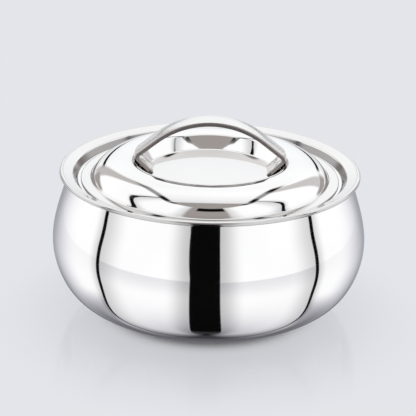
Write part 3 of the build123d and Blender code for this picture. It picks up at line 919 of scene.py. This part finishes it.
def back_of_tent(way):
    """What stands to the back: its shade, its grey bands, and a dark line low down."""
    straight_back = way.aside.rising(*BACK_BEARINGS) * (1 - way.above.rising(*BACK_HEIGHTS))
    shade = straight_back * (BACK_LIFT + BACK_GLOOM * (1 - way.above.rising(*BACK_RISES)))
    low_down = way.above.within(*BAND_FOOT_HEIGHTS, BAND_FOOT_SOFT)
    grey = way.aside.within(*BAND_FOOT, BEARING_SOFT) * low_down
    for start, end, greyness in BANDS:
        band = greyness * way.about.within(start, end, BAND_SOFT) * way.above.rising(*BAND_RISES)
        grey = grey.highest(band)
    start, end = BACK_LINE_ENDS
    height = BACK_LINE_HEIGHT - BACK_LINE_FALLS * (way.aside - start) + BACK_LINE_LEFT * (1 - way.on_right)
    line = 1 - abs(way.above - height).rising(*BACK_LINE_EDGES)
    return shade, grey, line * way.aside.within(start + 1, end, BACK_LINE_SOFT)


def table_shade(way, behind_seam):
    """How light the table looks in a mirror: it dims to the sides and back, and down to the foot."""
    horizon = HORIZON - HORIZON_SAG * way.about * way.about
    below = 1 - way.above.rising(horizon - HORIZON_SOFT, horizon + HORIZON_SOFT)
    near_horizon = (1 - (-way.z).rising(*HORIZON_FALLS)) * (1 - (1 - HORIZON_BEHIND) * behind_seam)
    light = 1 - HORIZON_GLOOM * near_horizon
    light = light * (1 - BELOW_GLOOM * (1 - way.level) ** 2) * way.level.rising(*FOOT_EDGE)
    kept = BESIDE_KEPT + (1 - BESIDE_KEPT) * way.above.rising(*BESIDE_FOOT)
    beside = BESIDE_GLOOM * behind_seam * (1 - way.above.rising(*BESIDE_TOP)) * kept
    far = FAR_GLOOM * way.aside.rising(*FAR_BEARINGS) * (1 - way.above.rising(*FAR_FALLS))
    return 1 - below * (1 - light * (1 - beside.highest(far)))


def light_tent(scene, background):
    """White panels round the pot and a white sheet over it, as a mirror sees them, above the table and
    in it. The camera itself sees a plain background."""
    scene.world = bpy.data.worlds.new("light_tent")
    scene.world.use_nodes = True
    nodes = Nodes(scene.world.node_tree)
    way = Way(nodes)
    gap_shade, grey, gap_dark = front_gap(way)
    seam_shade, seam_dark, behind_seam = side_seams(way)
    sheet, sheet_light, border = overhead_sheet(way)
    back_shade, back_grey, back_dark = back_of_tent(way)
    above_panels = way.above.rising(PANEL_TOP - PANEL_SOFT, PANEL_TOP + PANEL_SOFT)
    grey = grey.highest(above_panels).highest(back_grey) * (1 - sheet)
    dark = gap_dark.highest(seam_dark).highest(panel_edge(way)) * (1 - sheet)
    dark = dark.highest(border).highest(back_dark)
    flank_shade = FLANK_GLOOM * way.aside.rising(*FLANK_BEARINGS) * (1 - way.above.rising(*FLANK_FALLS))
    table = table_shade(way, behind_seam) * (1 - flank_shade)
    light = (1 - gap_shade - seam_shade) * (1 - sheet) + sheet_light * sheet
    light = light * (1 - back_shade) * table
    parts = [light * strength * (1 + add * (1 - table)) for strength, add in zip(TENT_LIGHT, COOL)]
    colour = nodes.blend(grey, nodes.vector(*parts), TENT_GREY)
    colour = nodes.blend(dark, colour, TENT_DARK)
    seen = nodes.blend(nodes.node("ShaderNodeLightPath")["Is Camera Ray"], colour, background)
    shader = nodes.node("ShaderNodeBackground", {}, {"Color": seen})["Background"]
    nodes.node("ShaderNodeOutputWorld", {}, {"Surface": shader})


def lay_floor(background):
    """Pale table with a soft shine. The camera sees it plain away from the pot, and a mirror sees the
    tent's own picture of it."""
    rim = [(TABLE_RADIUS * cos(turn), TABLE_RADIUS * sin(turn), 0)
           for turn in (2 * pi * step / TABLE_SEGMENTS for step in range(TABLE_SEGMENTS))]
    floor = add_piece("floor", rim, [tuple(range(TABLE_SEGMENTS))])
    made = bpy.data.materials.new("floor")
    made.use_nodes = True
    nodes = Nodes(made.node_tree)
    place, radius, _, _ = turned_place(nodes)
    grain = nodes.noise(place, FLOOR_GRAIN_SCALE)
    kept = 1 - radius.rising(*SHADOW_RADII)
    lit = (1 - radius.rising(SHADOW_RADII[1], SHADOW_END)) * (SHADOW_KEPT + (1 - SHADOW_KEPT) * kept)
    # painted contact shadow round the foot, in the floor's colour and its glow
    painted_contact_shadow = CONTACT_SHADE * (1 - radius.rising(*CONTACT_RADII))
    base = [part - FLOOR_MIRRORED for part in background]
    white = [part / light for part, light in zip(base, FLOOR_LIGHT)]
    painted = nodes.blend(grain, white, scaled(white, FLOOR_GRAIN_TINT))
    painted, base = (nodes.blend(painted_contact_shadow, whole, (0, 0, 0)) for whole in (painted, base))
    shaded = nodes.node("ShaderNodeBsdfPrincipled", {}, {
        "Base Color": nodes.blend(lit, (0, 0, 0), painted),
        "Emission Color": nodes.blend(lit, base, (0, 0, 0)),
        "Emission Strength": 1.0, "Roughness": FLOOR_ROUGHNESS, "Specular IOR Level": FLOOR_SHINE})["BSDF"]
    plain = nodes.node("ShaderNodeEmission", {}, {"Color": (*background, 1.0)})["Emission"]
    away = radius.rising(PLAIN_FROM, PLAIN_TO)
    shown = nodes.node("ShaderNodeMixShader", {}, {0: away, 1: shaded, 2: plain})
    clear = nodes.node("ShaderNodeBsdfTransparent")["BSDF"]
    glossy = nodes.node("ShaderNodeLightPath")["Is Glossy Ray"]
    shader = nodes.node("ShaderNodeMixShader", {}, {0: glossy, 1: shown["Shader"], 2: clear})["Shader"]
    nodes.node("ShaderNodeOutputMaterial", {}, {"Surface": shader})
    floor.data.materials.append(made)


# ---------------------------------------------------------------- panel and registration
OPERATORS = (MakePot, MakeLid, MakeHandle, MakeStage)
SETTINGS = {"casserole_pot": CasserolePot, "casserole_lid": CasseroleLid,
            "casserole_handle": CasseroleHandle, "casserole_finish": CasseroleFinish}


class CasserolePanel(bpy.types.Panel):
    """Lists the casserole's settings and the steps that build it"""
    bl_idname = "VIEW3D_PT_casserole"
    bl_label = "Insulated Casserole"
    bl_space_type = "VIEW_3D"
    bl_region_type = "UI"
    bl_category = "Casserole"

    def draw(self, context):
        for step, (name, group) in zip(OPERATORS, SETTINGS.items()):
            box = self.layout.box()
            for setting in group.__annotations__:
                box.prop(getattr(context.scene, name), setting)
            box.operator(step.bl_idname)


def register():
    for kind in (*SETTINGS.values(), *OPERATORS, CasserolePanel):
        bpy.utils.register_class(kind)
    for name, group in SETTINGS.items():
        setattr(bpy.types.Scene, name, PointerProperty(type=group))


def unregister():
    for name in SETTINGS:
        delattr(bpy.types.Scene, name)
    for kind in (CasserolePanel, *OPERATORS[::-1], *list(SETTINGS.values())[::-1]):
        bpy.utils.unregister_class(kind)


def main():
    register()
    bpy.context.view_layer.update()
    for step in OPERATORS:
        group, name = step.bl_idname.split(".")
        getattr(getattr(bpy.ops, group), name)()


if __name__ == "__main__":
    main()
